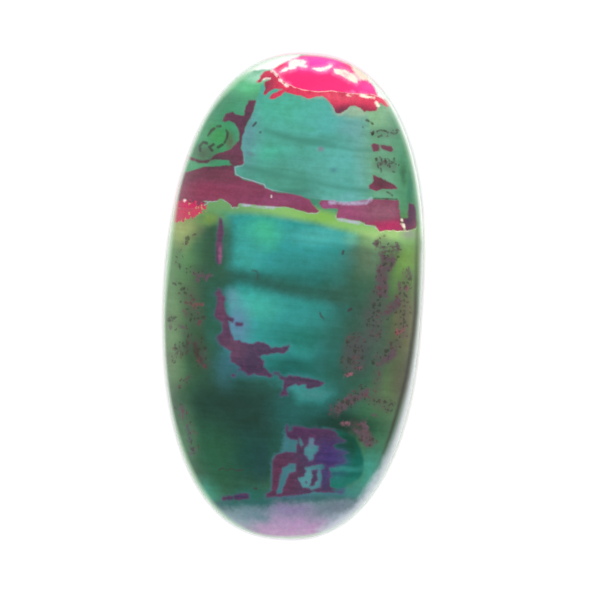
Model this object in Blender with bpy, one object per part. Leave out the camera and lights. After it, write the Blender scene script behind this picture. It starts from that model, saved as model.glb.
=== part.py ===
"""Oval agate cabochon, cut from one piece of dyed, banded agate and polished all over.

Metres, +Z up. The stone lies on its flat back with its dome up. +Y runs along it to the pink
tip and +X across it. The origin is the middle of its length and width, on the back.
"""
import math

import bmesh
import bpy

# Driving dimensions
LENGTH = 0.0485
WIDTH = 0.0257
THICKNESS = 0.0070

# The side, from the back up: a narrow bevel, then the girdle, which is the widest line
BACK_INSET = 0.00075
BEVEL_HEIGHT = 0.00045
BEVEL_INSET = 0.00018
GIRDLE_HEIGHT = 0.0016

# The outline is a full oval: 2 is an ellipse, and more fills out its shoulders
OVAL_FULLNESS = 2.34
# The uneven places that hand cutting leaves: waves around the edge, cosine part, sine part
UNEVENNESS = (
    (1, 0.0032, -0.0041),
    (2, 0.0, -0.0011),
    (3, -0.0009, 0.0063),
)

# The dome's section: a higher crown value is flatter on top, a higher flank value steeper
CROWN_FLATNESS = 2.4
FLANK_STEEPNESS = 2.0

# Fineness of the solid
SIDES = 96
DOME_STEPS = 26
SHARP_ANGLE = math.radians(24)

# Finish
AGATE_GREEN = (0.09, 0.25, 0.18, 1.0)
POLISH_ROUGHNESS = 0.12
AGATE_IOR = 1.54


def clear_scene():
    """Remove every object that the scene starts with."""
    for item in list(bpy.data.objects):
        bpy.data.objects.remove(item, do_unlink=True)


def edge_distance(angle):
    """Distance from the middle to the edge, with angle 0 at +Y and growing towards +X."""
    along = abs(math.cos(angle)) / (LENGTH / 2)
    across = abs(math.sin(angle)) / (WIDTH / 2)
    distance = (along ** OVAL_FULLNESS + across ** OVAL_FULLNESS) ** (-1 / OVAL_FULLNESS)
    unevenness = 1.0
    for waves, cosine, sine in UNEVENNESS:
        unevenness += cosine * math.cos(waves * angle) + sine * math.sin(waves * angle)
    return distance * unevenness


def centred(values, size):
    """The same values, moved and stretched to run from -size/2 to size/2."""
    low = min(values)
    high = max(values)
    return [(value - (low + high) / 2) * size / (high - low) for value in values]


def stone_outline():
    """Points of the edge seen from above, closer together at the tightly curved ends."""
    across = []
    along = []
    for side in range(SIDES):
        turn = 2 * math.pi * side / SIDES
        angle = math.atan2(WIDTH * math.sin(turn), LENGTH * math.cos(turn))
        distance = edge_distance(angle)
        across.append(distance * math.sin(angle))
        along.append(distance * math.cos(angle))
    return list(zip(centred(across, WIDTH), centred(along, LENGTH)))


def inset_ring(outline, inset, height):
    """A ring that lies the same distance inside the outline all the way round."""
    ring = []
    for x, y in outline:
        share = 1 - inset / math.hypot(x, y)
        ring.append((x * share, y * share, height))
    return ring


def dome_ring(outline, step):
    """A ring of the dome, from the girdle at step 0 towards the crown at DOME_STEPS."""
    turn = math.pi / 2 * step / DOME_STEPS
    share = math.cos(turn) ** (2 / CROWN_FLATNESS)
    rise = math.sin(turn) ** (2 / FLANK_STEEPNESS)
    height = GIRDLE_HEIGHT + (THICKNESS - GIRDLE_HEIGHT) * rise
    return [(x * share, y * share, height) for x, y in outline]


def stone_rings():
    """Every ring of the stone, from the edge of its flat back to the last one below the crown."""
    outline = stone_outline()
    rings = [
        inset_ring(outline, BACK_INSET, 0.0),
        inset_ring(outline, BEVEL_INSET, BEVEL_HEIGHT),
    ]
    rings += [dome_ring(outline, step) for step in range(DOME_STEPS)]
    return rings


def agate_material():
    """Polished agate in its main colour."""
    material = bpy.data.materials.new("agate")
    material.use_nodes = True
    shader = material.node_tree.nodes["Principled BSDF"]
    shader.inputs["Base Color"].default_value = AGATE_GREEN
    shader.inputs["Roughness"].default_value = POLISH_ROUGHNESS
    shader.inputs["Metallic"].default_value = 0.0
    shader.inputs["IOR"].default_value = AGATE_IOR
    material.diffuse_color = AGATE_GREEN
    return material


def edge_loop(solid, ring):
    """The closed loop of edges through a ring's points."""
    corners = [solid.verts.new(point) for point in ring]
    return [solid.edges.new(pair) for pair in zip(corners, corners[1:] + corners[:1])]


def build_cabochon():
    """The stone as one closed solid: its rings bridged in turn, with a flat back and a crown."""
    solid = bmesh.new()
    loops = [edge_loop(solid, ring) for ring in stone_rings()]
    for lower, upper in zip(loops, loops[1:]):
        bmesh.ops.bridge_loops(solid, edges=lower + upper)
    bmesh.ops.contextual_create(solid, geom=loops[0])
    top = bmesh.ops.contextual_create(solid, geom=loops[-1])["faces"]
    crown = bmesh.ops.poke(solid, faces=top)["verts"][0]
    crown.co = (0.0, 0.0, THICKNESS)
    bmesh.ops.recalc_face_normals(solid, faces=solid.faces)

    mesh = bpy.data.meshes.new("cabochon")
    solid.to_mesh(mesh)
    solid.free()
    mesh.shade_smooth()
    mesh.set_sharp_from_angle(angle=SHARP_ANGLE)
    mesh.materials.append(agate_material())
    stone = bpy.data.objects.new("cabochon", mesh)
    bpy.context.collection.objects.link(stone)
    return stone


clear_scene()
build_cabochon()
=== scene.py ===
import math

import bmesh
import bpy
import numpy as np
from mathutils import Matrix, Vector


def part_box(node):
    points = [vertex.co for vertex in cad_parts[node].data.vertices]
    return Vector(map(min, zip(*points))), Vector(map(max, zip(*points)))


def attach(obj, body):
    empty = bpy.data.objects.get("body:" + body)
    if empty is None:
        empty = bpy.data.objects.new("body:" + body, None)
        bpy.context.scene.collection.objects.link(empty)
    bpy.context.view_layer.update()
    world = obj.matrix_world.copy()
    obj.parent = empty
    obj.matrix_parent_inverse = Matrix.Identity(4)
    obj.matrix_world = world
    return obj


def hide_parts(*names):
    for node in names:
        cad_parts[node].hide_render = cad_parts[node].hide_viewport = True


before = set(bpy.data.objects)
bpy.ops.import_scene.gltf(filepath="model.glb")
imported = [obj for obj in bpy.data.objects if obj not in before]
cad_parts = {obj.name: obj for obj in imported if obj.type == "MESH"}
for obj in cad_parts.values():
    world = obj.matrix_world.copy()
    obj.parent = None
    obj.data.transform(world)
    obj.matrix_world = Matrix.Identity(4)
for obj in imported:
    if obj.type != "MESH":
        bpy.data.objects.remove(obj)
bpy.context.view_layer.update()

# The view: the camera looks straight down, and the picture shows 60 mm across at the girdle
PICTURE_PIXELS = 600
PICTURE_WIDTH = 0.060
PIXEL = PICTURE_WIDTH / PICTURE_PIXELS
VIEW_DISTANCE = 0.45
VIEW_TURN = math.radians(3.3)
VIEW_CENTRE = (0.00073, -0.00032)
SENSOR_WIDTH = 36.0
NEAREST_VIEW = 0.01

# The stone's own sizes, from its solid
LOW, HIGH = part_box("cabochon")
WIDTH = HIGH.x - LOW.x
LENGTH = HIGH.y - LOW.y
THICKNESS = HIGH.z - LOW.z

# The cut: the same rule as the solid's, at a finer step
GIRDLE_HEIGHT = 0.0016
BEVEL_HEIGHT = 0.00045
BEVEL_INSET = 0.00018
BACK_INSET = 0.00075
EDGE_ROUNDING = 0.00007
EDGE_SEGMENTS = 3
SHARP_ANGLE = math.radians(24)
OVAL_FULLNESS = 2.34
CROWN_FLATNESS = 2.4
FLANK_STEEPNESS = 2.0
UNEVENNESS = ((1, 0.0032, -0.0041), (2, 0.0, -0.0011), (3, -0.0009, 0.0063))
ACROSS_STEPS = 180
ALONG_STEPS = 330
BACK_ROWS = 27
RIM_CROWDING = 0.05
# Points closer than this are one, and heights closer than this are the same
SAME_PLACE = 1e-7
# Farther than any point, the least length that is divided by, and how near a count is the same
FAR_AWAY = 1e9
TINY = 1e-9
SAME_COUNT = 0.1

# Beneath the stone the bands have drifted by this many pixels, this far in from its edge
BAND_DRIFT = (16, -24)
BAND_DRIFT_REACH = 60

# Down the side, each point takes the pattern from up to this many pixels further in, so that
# the bands run on and the pale rim stays a thin line at the girdle
SIDE_FOLD = 26
SIDE_FOLD_REACH = 110
RIM_SAMPLING = 5

# The flat map that carries the pattern to other programs: map units to a metre, and how far
# the steep parts are spread out
DOME_MAP_CENTRE = (0.275, 0.5)
DOME_MAP_SCALE = 18.6
DOME_FLANK_ROOM = 0.3
BACK_MAP_CENTRE = (0.772, 0.5)
BACK_MAP_SCALE = 15.5
SIDE_ROOM = 0.9

# Finish
AGATE_IOR = 1.54
POLISH_LEVEL = 0.3
RIPPLE_STRENGTH = 0.06
RIPPLE_HEIGHT = 0.00002

# Studio
FLOOR_HALF_WIDTH = 1.5
FLOOR_PALENESS = 0.95
SKY_STRENGTH = 0.22
HORIZON_STRENGTH = 0.95
SKY_BLEND = 0.6
LAMP_HEIGHT = 0.9
LAMP_SIZE = 0.4
LAMP_POWER = 8.0

# Places on the stone are pixels of the picture: x to the right, y down, 10 pixels to a
# millimetre. Each outline has only the corners that its patch needs.

PINK_TIP = [
    (271.5, 69.5), (278.3, 74), (281, 79), (287, 83), (297, 88), (309, 90.5),
    (319, 91.4), (332, 90.4), (346, 93), (361, 93.5), (373, 94), (383, 98), (391, 107),
    (389, 101), (378, 96), (375, 88), (369, 80), (366, 70), (356, 62), (346, 56.5), (325, 50),
    (300, 56), (288, 60.5), (280, 64.5),
]
# Shoulders beside the tip, painted white as light on the stone's thin edge
PALE_SHOULDERS = {
    "left": [
        (220, 86), (238, 76.5), (250, 71), (262, 69.2), (271.5, 69.5), (280, 64.5), (288, 60.5),
        (300, 56), (300, 40), (220, 40),
    ],
    "right": [
        (346, 56.5), (356, 62), (366, 70), (369, 80), (375, 88), (378, 96), (389, 101),
        (394, 108), (410, 108), (400, 60), (360, 40),
    ],
}
CREAM_SHOULDER = [
    (350, 60), (352, 67), (354, 74), (359, 80), (366, 80), (373, 84), (386, 96), (392, 80),
    (366, 52),
]
RED_DRIPS = [
    (272, 70), (279, 73), (282, 78), (288, 82), (298, 86), (309, 88), (319, 89), (332, 88),
    (346, 90), (361, 91), (375, 93), (384, 98), (391, 105), (387, 107), (380, 103),
    (375.5, 103), (377.5, 108), (376, 111), (364, 111.5), (360, 108), (355, 106), (350, 106.3),
    (345, 110.5), (340, 113.3), (335.5, 113), (334, 108), (331, 104), (327, 99), (322, 96),
    (317.6, 96.4), (311, 98), (307, 98.4), (301, 96.4), (295, 95), (289, 93), (284, 92),
    (281, 95.6), (275, 99), (269, 98.6), (270, 95), (276, 92), (283, 89.6), (276, 88.8),
    (269, 91), (265, 95), (263.5, 94), (265.5, 89), (264, 82), (270.5, 79), (263, 79.5),
    (260, 83), (256, 82), (259.4, 79), (260.4, 75.6), (265, 71.5), (269, 70.5),
]
# The upper window and the lower windows: the stone's teal, lightened by a painted reflection of a
# window
UPPER_WINDOW_REFLECTION = [
    (256, 101), (254.4, 108.4), (251, 116.4), (245.8, 126.7), (242.4, 136), (241.2, 147.4),
    (243.5, 157.7), (243, 164.6), (233.8, 166.3), (235, 175), (243, 179), (254.4, 182.4),
    (263.6, 185.3), (264.8, 188.2), (271.7, 191), (282, 192.7), (293.5, 194.5), (307, 197.5),
    (321, 199.5), (330, 200.8), (338, 203), (346, 204.8), (368, 204.8), (373, 199.6),
    (371.5, 170), (372, 145), (368, 113), (330, 85), (262, 85),
]
MAROON_PATCHES = {
    "band": [
        (160, 176), (184, 172.4), (194.4, 170), (202, 167), (214.5, 166.4), (222, 165.6),
        (232.7, 164.8), (229.8, 163), (229.8, 160.4), (219, 159.4), (210.7, 160.3),
        (207.8, 163.2), (198.3, 163.2), (190.6, 159.8), (180, 156), (191.6, 156.6),
        (195.4, 158.4), (201, 160.3), (207.8, 160), (211.7, 157.2), (216.4, 153.6),
        (223, 152.2), (230.8, 149.3), (235.6, 144.5), (239, 139.7), (239.4, 133),
        (237.5, 127.3), (234.6, 123), (229, 120.6), (225, 122), (221.7, 121), (224, 117.7),
        (226, 113.4), (232.7, 112), (235.6, 114), (239.4, 115.4), (244, 115.6), (245, 110),
        (246.6, 105), (248.6, 100.8), (256, 100.2), (260, 115), (252, 140), (246, 160),
        (238, 170), (262, 180), (290, 190), (300.4, 196.2), (308.4, 199), (311.8, 203),
        (315.3, 208), (319.5, 211), (316.4, 213), (307, 212.5), (298, 210), (287.7, 207),
        (271.7, 206.4), (259, 206), (252, 204.8), (240.5, 203.6), (239, 204),
        (237.7, 207), (232.6, 207), (229.6, 204), (224.3, 199.8), (219.4, 198.8),
        (218, 200.5), (202, 201), (207, 203), (200, 205.4), (198, 208), (160, 208),
    ],
    "block": [
        (322, 200.5), (332, 200.4), (345, 203), (372, 199), (384, 199.6), (398.6, 200),
        (400.5, 216.4), (401.5, 222), (404.4, 230.7), (388, 230.2), (379.5, 231.7),
        (375.7, 226), (366, 224), (359.4, 221), (350.8, 220.2), (343, 218.3), (336.4, 218.3),
        (337.9, 208.7), (325, 208.4), (320.5, 206.6), (319, 202),
    ],
    "strip": [
        (409, 202.5), (414, 205), (416.3, 212.5), (416, 227.8), (413, 229.7), (406.3, 230.7),
        (404.8, 226), (402.4, 220), (403, 218.3), (407.7, 217.8),
    ],
    "corner": [
        (372.7, 175), (380.7, 177.8), (395.6, 185.3), (397.4, 188.7), (380.7, 189.5),
        (376, 191), (368.7, 188.7), (369.2, 185.3), (373.3, 181.8),
    ],
    "dash": [(371, 145), (374, 143.6), (379, 144.6), (380, 150.5), (373.4, 152)],
    "slab": [(380, 144.6), (391, 146), (393.4, 149.5), (391.6, 152), (386.4, 151), (382, 148.4)],
}
# Left of this pixel, the upper window lies over the band
BAND_END = 321
HOT_PATCH = [
    (160, 202), (178, 201), (190, 200.4), (210, 203), (209, 213), (198, 217),
    (189.5, 219.6), (184, 220), (181.4, 221.5), (160, 221),
]
LIME_SEAM = [
    (196, 208), (203, 204), (240, 205), (272, 208), (300, 213), (318, 216), (340, 222), (360, 227),
    (377, 232.5), (425, 233),
]
# Where the painted pale reflection along the right edge lies
PALE_EDGE = [
    (419, 225), (418.5, 240), (418, 275), (417, 312), (415.2, 330), (412, 353), (408, 376),
    (403.5, 395), (398.5, 414), (392.5, 433), (387, 450), (380, 467), (371.5, 483), (364, 494),
    (358, 504), (348, 512.7), (333.6, 522.5), (320, 530.5), (320, 560), (450, 560), (450, 225),
]
LOWER_WINDOW_REFLECTIONS = {
    "upper": [
        (229, 216), (250, 209), (290, 214), (330, 224), (358, 230), (358, 262), (346, 285),
        (306, 284), (280, 279), (250, 272), (229, 267),
    ],
    "lower": [
        (227, 290), (236, 284), (250, 283), (266, 289), (288, 295.5), (303, 299), (322, 302),
        (348, 308), (345, 345), (340, 392), (322, 402), (298, 401), (293, 391), (281, 385),
        (260, 378), (236, 376), (225, 360),
    ],
}
LATTICE_GROUND = [
    (283, 431), (282.6, 440), (281, 450), (274, 456), (271.5, 464), (270, 498), (310, 497),
    (345, 494), (346, 437), (320, 432),
]
PURPLE_VEINS = {
    "crawling": [
        (218.3, 289), (221, 291.6), (222, 295.6), (225, 296.5), (225.4, 300), (224, 302.3),
        (225, 309.5), (226.8, 314.4), (229.5, 316.6), (233, 318.8), (233.2, 322.7),
        (228.6, 321), (229.9, 330), (232, 335.4), (234, 340.7), (236.6, 340.7), (239.3, 338.5),
        (242, 341.6), (248, 343.4), (253.6, 343.4), (258, 341.6), (263.8, 342.5), (268, 345.2),
        (271.4, 348.3), (276, 347), (282, 347.9), (285.7, 346), (288.4, 344.7), (289.7, 346.5),
        (287.5, 350.5), (284, 353.2), (276.8, 353.2), (269.6, 353.7), (262.5, 355.4),
        (258, 356.8), (261.6, 358.6), (263.8, 361.3), (263.8, 367), (268.8, 372), (272.3, 375.5),
        (270.5, 377.8), (266, 376), (259, 375), (253.6, 373.8), (248, 375.5), (244.6, 372),
        (242, 370.2), (240.2, 366.6), (235.7, 364), (231.3, 362), (230.4, 357.7), (231.3, 351.4),
        (226.8, 348), (221.4, 345.2), (218, 340.7), (217, 337), (218.8, 334.5), (222, 334.5),
        (223.2, 330), (222, 325.5), (223.2, 322), (219.6, 320.2), (214.3, 316.6), (215.2, 310.4),
        (217, 303.2), (217.4, 296), (214.3, 295.2), (216.5, 291.6),
    ],
    "tail": [
        (274, 372.2), (278.6, 372.4), (280.8, 375), (285.7, 377.8), (289.3, 376), (297.3, 376.4),
        (309, 378.2), (318, 380), (323.7, 383), (319.6, 386.7), (308, 389), (305.8, 387.6),
        (306.3, 384.5), (302.7, 383.6), (299, 385.4), (295.5, 384), (291, 386.3), (287.5, 386.7),
        (286.2, 389.8), (287.5, 395.2), (280.4, 395.2), (280.8, 392.5), (283.5, 389.8),
        (283.5, 384.5), (284.8, 380), (280.4, 379), (278.6, 375.5), (274, 374.2),
    ],
    "streak": [
        (219, 217), (221.6, 219.3), (223.4, 224.6), (223.8, 231), (222.4, 240), (221.8, 254),
        (220.6, 263), (218.2, 264), (216.5, 261), (216.1, 250), (217, 238), (218.6, 228),
    ],
    "shelf": [
        (287, 424.6), (288.4, 431.4), (291.4, 431.4), (292.6, 426.4), (299, 426.6),
        (306.4, 428.6), (317, 428.3), (328, 429.2), (336, 431.4), (338, 436), (344, 441.3),
        (336, 445), (332.4, 448.4), (335, 451), (344.8, 453), (344.8, 463.6), (337.7, 465.8),
        (329, 467.4), (330, 472), (330.5, 486), (335, 488.4), (343.9, 489.3), (343, 491.6),
        (313.6, 492.2), (310, 493.5), (295.7, 494.8), (281.4, 496.2), (266.3, 498),
        (266.3, 494.8), (271.6, 490.8), (272.5, 472.5), (272.5, 461.8), (276, 455),
        (286, 451.5), (289.5, 452.4), (296.6, 452), (296.6, 445.7), (297.5, 440.4),
        (291.3, 440), (286.8, 436.8), (285.4, 432.3),
    ],
}
VEIN_HOLES = {
    "slit": [(299.3, 436.8), (303, 444), (302, 447.5), (299.3, 443)],
    "star": [
        (308.8, 437.4), (314.2, 437.4), (314, 444.4), (319.4, 446), (318.4, 450.6),
        (313.8, 455), (313, 461.4), (308.6, 461.4), (307, 456), (304, 454), (304.4, 447.6),
        (308.6, 445),
    ],
    "boot": [
        (282.3, 468), (289.5, 463.6), (295.7, 463.6), (296.2, 471.6), (289.5, 473.8),
        (286, 481.4), (281.4, 494), (277, 494), (277, 490.4), (279.6, 479.6),
    ],
    "cup": [
        (304.6, 467.6), (313.6, 465.6), (320.7, 463.8), (325, 465.4), (325, 468), (321.2, 470),
        (321.8, 481.4), (321, 487.4), (311, 489.8), (303, 487.4), (297.8, 479.4), (298.6, 477.4),
        (304.8, 476.4), (306.4, 470.7),
    ],
}
VEIN_ISLANDS = {
    "slot": [(311.6, 470), (317.4, 470), (317.4, 479), (313, 486.4), (309, 486), (312.4, 478)],
}
END_LINE = [
    (160, 505), (215, 500), (240, 501), (268, 499), (290, 500.5), (312, 499), (340, 497),
    (365, 500), (420, 500), (420, 560), (160, 560),
]
GREEN_DISC = [
    (322, 426), (344, 431), (355.5, 436.8), (361.8, 449.3), (364.5, 460), (363.6, 472.5),
    (360, 479), (345, 487.7), (336, 492), (322, 492),
]

# Strokes: a half width, then the points that the stroke runs through
CHALK_STROKES = {
    "seam spur": (0.7, [(279, 79), (283, 83), (288, 86)]),
    "seam head": (1.2, [(271.5, 70.5), (274.5, 73), (277, 76)]),
    "seam flaw": (0.6, [(346, 94.5), (350, 96.5), (353, 94.5)]),
    "seam fray": (0.9, [(361, 95), (367, 97), (374, 98)]),
    "drip notch": (1.1, [(376, 102.5), (379, 106.5)]),
    "drip nick": (0.6, [(263, 79.4), (267, 78.7), (270.5, 78.7)]),
    "block corner": (0.8, [(401, 224), (403, 224.6), (404.4, 227)]),
    "block dot": (0.8, [(401.3, 219.5), (401.8, 220.5)]),
    "band tick": (0.35, [(271.2, 195.5), (271.4, 198)]),
    "hot spot": (0.9, [(184.6, 200.4), (185.6, 199.6)]),
}
CHALK_PATCHES = {
    "left": [
        (288.5, 61.8), (294, 59.3), (301.2, 59.8), (306.3, 61.8), (303.8, 63.9), (307.3, 66),
        (306.8, 68), (302.2, 67), (298.7, 65.4), (295, 68.5), (289, 70), (283, 71.6),
        (279.8, 72), (285, 68.5), (289, 67),
    ],
    "middle": [
        (312.4, 68), (320.6, 68), (326.7, 67), (329.8, 64), (333, 64.4), (331.3, 67.4),
        (327.2, 70), (320.6, 71.7), (315.5, 70),
    ],
    "right": [
        (334, 69.5), (342, 69), (350.2, 72.6), (353.3, 74.6), (358, 80.2), (357.3, 83),
        (350.2, 80.7), (342, 75.6), (334.4, 72.8),
    ],
}
LILAC_STROKES = {
    "right lip": (1.7, [(330, 202), (340, 203), (348, 204), (366, 202.6), (371, 199)]),
    "band foot": (1.0, [(240, 204.6), (250, 205.8), (262, 207.2), (274, 208)]),
    "block foot": (1.2, [(339, 219.8), (350, 221.4), (359, 223)]),
}
# Painted dark bars across the window reflection, and a painted shade along its foot
DARK_STROKES = {
    "first": (2.6, [(266, 130.5), (284, 136), (300.4, 140.5), (321, 143.6), (335, 146.3)]),
    "first end": (0.8, [(335, 146.3), (352, 149.7), (371, 150.4)]),
    "second": (1.8, [(243, 166), (260, 171), (277.4, 175), (293.5, 178.4), (312, 181.3)]),
    "second end": (1.8, [(312, 181.3), (329, 185.3), (346, 188.7), (370, 191)]),
    "lip shade": (1.6, [(276, 190), (292, 192.6), (306, 196), (319, 199.5)]),
}
FLECK_PATCHES = {
    "top": [
        (372, 243), (375, 241.8), (377.4, 240), (379.3, 241.4), (378.2, 246), (376.3, 248.7),
        (374.4, 245.2),
    ],
    "column": [
        (379, 250.6), (383.6, 252), (387, 256), (395.6, 257.5), (397, 260), (395, 262.8),
        (392, 269.7), (387.4, 272.8), (388, 279), (386.6, 279.7), (388, 285.8), (387.4, 293.5),
        (390, 298), (386, 298), (381, 296.5), (376, 296), (376, 289), (379, 284.3),
        (376.7, 281.2), (377.4, 269), (380.5, 263.6), (382, 258.3), (379, 253),
    ],
    "elbow": [
        (391, 303.4), (397.3, 297.3), (400.4, 298.8), (400.4, 306.5), (396.6, 311),
        (389.7, 314), (385, 315.6), (382, 313.3), (387.4, 310.3),
    ],
    "cross": [
        (402.7, 272.8), (406.5, 271.3), (408.4, 267.4), (410, 272.8), (412, 276), (409, 278),
        (407.7, 273.6),
    ],
    "wing": [
        (377.4, 364.8), (380.4, 360), (385.8, 356), (391.2, 350.7), (389.6, 345.3), (393.5, 348.4),
        (397.3, 354.5), (392, 360), (385, 362), (381, 366),
    ],
    "ramp": [
        (333.8, 409.6), (336.8, 405), (343, 400.4), (348.3, 395.4), (357.5, 395.8), (366, 389),
        (369, 389), (367.4, 393.5), (362.8, 397.3), (356.7, 401.2), (350.6, 406.5), (343, 410.3),
        (337.6, 415),
    ],
    "pebble": [(340.7, 423.3), (346.8, 421), (351.4, 423), (349, 425.6), (343, 426)],
    "hook": [
        (353, 430.2), (359.8, 431), (360.6, 423.3), (366, 418.8), (366, 424), (369, 431),
        (373.6, 439.4), (372, 447.8), (366, 447), (360.6, 440.2), (359, 434.8),
    ],
}
FLECK_STROKES = {
    "thread": (1.0, [(399.2, 281.2), (399.5, 288), (400.4, 294.2)]),
    "strand one": (0.7, [(379, 247.5), (397, 246.5)]),
    "strand two": (0.7, [(381, 251.5), (396.5, 250.5)]),
    "strand three": (0.7, [(383, 255), (396, 254.6)]),
    "strand side": (0.6, [(397.5, 243), (398, 252)]),
    "berry": (2.2, [(406.2, 288), (406.8, 288.4)]),
    "red berry": (1.9, [(396.4, 333.8), (398.6, 332)]),
    "red thread": (1.1, [(401.6, 331.5), (403.4, 327.5)]),
    "low berry": (1.5, [(388, 409), (388.8, 410.6)]),
    "low seed": (1.0, [(372.2, 415), (375.8, 415)]),
    "dash one": (1.1, [(344.5, 375), (351, 374.4)]),
    "dash two": (1.3, [(355.5, 368.5), (361, 367)]),
    "blush": (1.6, [(194.5, 274), (199, 275), (197.6, 281)]),
    "bruise": (1.9, [(202.5, 275), (205, 278), (209.5, 275.5)]),
    "left dash": (0.9, [(191, 305), (201.5, 304.4)]),
    "left star": (1.1, [(183.6, 311), (187.2, 312), (186.4, 315.6)]),
    "left tick": (0.8, [(170.2, 322), (170.6, 328.6)]),
    "left red": (0.9, [(179, 326), (183.5, 327)]),
    "hatch one": (0.9, [(177.2, 353.5), (180, 347)]),
    "hatch two": (0.9, [(181, 357), (184.5, 350.5)]),
    "hatch three": (1.0, [(184.8, 347), (186.6, 345)]),
    "hatch four": (0.8, [(186.2, 354), (187.6, 350)]),
    "slash": (1.9, [(195, 343.5), (196.6, 354), (201, 360)]),
    "slash end": (1.3, [(201, 360), (204.6, 366.5)]),
    "left crumb": (0.9, [(186, 379.4), (189.6, 377.4)]),
    "left hook": (1.0, [(179, 408.6), (182.6, 408), (183.2, 413.6)]),
    "left trail": (1.2, [(187.2, 426.5), (189.2, 433), (190.2, 441)]),
    "left knot": (1.1, [(189.5, 447), (194, 449.5), (193.4, 453.5), (189.6, 454)]),
}
PEPPER_LANES = {
    "left upper": (3.0, [(200, 231), (186, 240), (178, 252), (177, 268)]),
    "left ledge": (1.5, [(184, 269.5), (203, 270)]),
    "left middle": (7.0, [(184, 292), (192, 302), (196, 318)]),
    "left outer": (5.0, [(171, 318), (180, 326), (188, 336)]),
    "left lower": (7.0, [(172, 356), (186, 346)]),
    "left slash": (5.0, [(197, 343), (205, 364)]),
    "left foot": (3.5, [(178, 388), (190, 376)]),
    "left knots": (4.0, [(181, 408), (189, 428), (194, 450)]),
    "left crest": (2.5, [(176, 280), (182, 286)]),
    "right top": (7.0, [(382, 243), (396, 250)]),
    "upper ticks": (3.0, [(374, 133), (396, 132)]),
    "upper crumbs": (5.0, [(379, 163), (392, 166)]),
    "right column": (8.0, [(388, 262), (382, 284), (377, 300)]),
    "right shoulder": (8.0, [(398, 304), (384, 310), (372, 314)]),
    "right edge": (6.0, [(408, 276), (404, 292), (403, 318), (402, 334)]),
    "right lower column": (7.0, [(376, 316), (374, 334)]),
    "grey patch": (12.0, [(356, 346), (352, 362)]),
    "right diagonal": (6.0, [(396, 344), (380, 362)]),
    "right tail": (4.0, [(378, 372), (376, 392)]),
    "low cluster": (6.0, [(366, 396), (388, 406)]),
    "low ramp": (6.0, [(336, 410), (364, 392)]),
    "low hook": (6.0, [(356, 426), (370, 442)]),
}
VEIN_STROKES = {
    "oval": (1.9, [(236.8, 324.4), (241, 324.4)]),
    "dot": (0.8, [(233.3, 375), (234.2, 375.2)]),
    "dot two": (0.9, [(239.4, 369.6), (240, 370)]),
    "cup dot": (0.9, [(305.8, 482.2), (306.4, 482.6)]),
    "bottom dash": (1.8, [(224, 498.6), (232, 498)]),
    "bottom bar": (2.7, [(236, 497), (246.6, 496.4)]),
}
CRACK_STROKES = {
    "ring left": (1.3, [(214.5, 128.5), (211, 131), (208.4, 135.5)]),
    "ring top": (1.4, [(217, 126.3), (220.5, 126.2)]),
    "ring right": (1.2, [(226, 130), (228, 133.5), (227, 138), (224.5, 142.5)]),
    "ring foot": (1.5, [(222.5, 144.5), (218, 147.5)]),
    "ring heel": (1.4, [(213.5, 144.4), (209.5, 147), (212, 150.5)]),
    "lobe left": (1.4, [(206.5, 143), (203, 142), (199.8, 146), (200.2, 151)]),
    "window dot": (1.1, [(260, 132.2), (260.6, 132.4)]),
    "window speck": (1.1, [(253, 126), (256, 122.6)]),
    "tick one": (1.2, [(366.5, 120), (369, 121.4)]),
    "tick two": (1.0, [(371.5, 122.6), (372.6, 124)]),
    "tick three": (0.8, [(362.8, 127), (363.2, 127.4)]),
    "tick four": (0.8, [(377, 131.4), (380, 130.2), (385, 130.6), (388, 132.6)]),
    "tick five": (1.0, [(378.6, 137), (381.6, 135.6)]),
    "tick six": (0.9, [(391, 132.6), (395, 134)]),
    "tick seven": (0.9, [(372.2, 133.8), (373.6, 131.6)]),
    "crumb one": (0.9, [(377.6, 162.6), (378.2, 168)]),
    "crumb two": (0.7, [(381.4, 158.6), (381.8, 164.4)]),
    "crumb three": (0.8, [(385.4, 158.6), (385.8, 164.4)]),
    "crumb four": (0.8, [(389.4, 160), (389.8, 167)]),
    "crumb five": (0.9, [(394, 158.4), (394.4, 163)]),
    "crumb six": (0.9, [(380.6, 168.6), (381.4, 172)]),
    "crumb seven": (0.9, [(392.8, 171.8), (394.4, 172.2)]),
    "crumb eight": (0.7, [(376.4, 158), (377, 159)]),
    "scratch": (0.9, [(387, 192), (389.6, 193.4), (392.6, 195.8)]),
    "block top": (0.8, [(373.8, 198.4), (384, 198.7), (396.7, 199.2)]),
    "window tick": (1.3, [(343.4, 251), (342.6, 254)]),
    "window seed": (1.3, [(348.5, 310.6), (351.3, 308.8)]),
    "fish hook": (0.8, [(252, 270.4), (256, 270.8), (258.2, 274), (257.4, 279)]),
    "small hook": (0.8, [(319.6, 312), (321, 316), (324, 319)]),
    "low zigzag": (0.6, [
        (219, 470), (223, 468), (227, 470.6), (231, 468.4), (236, 470.8), (243, 469.6),
    ]),
    "low spot": (1.2, [(254.6, 488.4), (256.4, 488.6)]),
}


class Wire:
    """A node's output that takes part in plain arithmetic. Each step adds one Math node."""

    def __init__(self, bench, socket):
        self.bench = bench
        self.socket = socket

    def __add__(self, other):
        return self.bench.math("ADD", self, other)

    def __sub__(self, other):
        return self.bench.math("SUBTRACT", self, other)

    def __rsub__(self, other):
        return self.bench.math("SUBTRACT", other, self)

    def __mul__(self, other):
        return self.bench.math("MULTIPLY", self, other)

    def __truediv__(self, other):
        return self.bench.math("DIVIDE", self, other)

    def __rtruediv__(self, other):
        return self.bench.math("DIVIDE", other, self)

    def __pow__(self, other):
        return self.bench.math("POWER", self, other)

    def beside(self, output):
        """Another output of the same node."""
        return Wire(self.bench, self.socket.node.outputs[output])

    __radd__ = __add__
    __rmul__ = __mul__


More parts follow.
